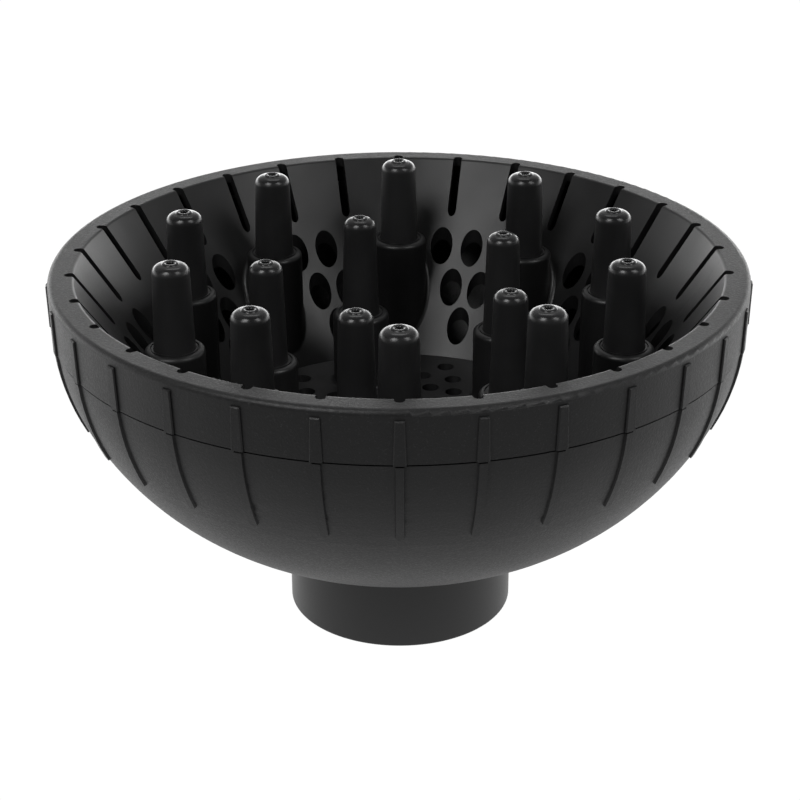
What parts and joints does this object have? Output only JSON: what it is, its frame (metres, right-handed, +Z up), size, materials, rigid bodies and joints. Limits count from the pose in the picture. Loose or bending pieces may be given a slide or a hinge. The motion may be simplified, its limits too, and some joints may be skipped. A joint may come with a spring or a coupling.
{
  "type": "hair dryer diffuser",
  "caption": "Bowl-shaped hair dryer diffuser with hollow air fingers in a slotted, perforated basin, a twist-off front and a short round neck.",
  "frame": {"origin": "centre of the neck's mouth, on the plane that the diffuser stands on", "axes": "+Z up along the neck and bowl axis towards the fingers, -Y the side that faces the viewer in the picture, X to the right"},
  "size_m": [0.1604, 0.161, 0.0933],
  "materials": {
    "front_plastic": "fine spark texture, matte",
    "bowl_plastic": "fine spark texture, matte",
    "neck_plastic": "smooth satin",
    "finger_plastic": "smooth semi-gloss"
  },
  "bodies": {
    "rear": {"rear_bowl": "bowl_plastic", "neck_sleeve": "neck_plastic", "air_baffle": "bowl_plastic"},
    "front": {"front_shell": "front_plastic", "floor_grille": "finger_plastic", "outer_finger_01": "finger_plastic", "outer_finger_02": "finger_plastic", "outer_finger_03": "finger_plastic", "outer_finger_04": "finger_plastic", "outer_finger_05": "finger_plastic", "outer_finger_06": "finger_plastic", "outer_finger_07": "finger_plastic", "outer_finger_08": "finger_plastic", "outer_finger_09": "finger_plastic", "outer_finger_10": "finger_plastic", "inner_finger_1": "finger_plastic", "inner_finger_2": "finger_plastic", "inner_finger_3": "finger_plastic", "inner_finger_4": "finger_plastic", "inner_finger_5": "finger_plastic"}
  },
  "joints": [
    {"name": "front_twist", "type": "hinge", "parent": "rear", "child": "front", "pos_m": [0, 0, 0.075], "axis": [0, 0, 1], "range_deg": [0, 12]}
  ]
}
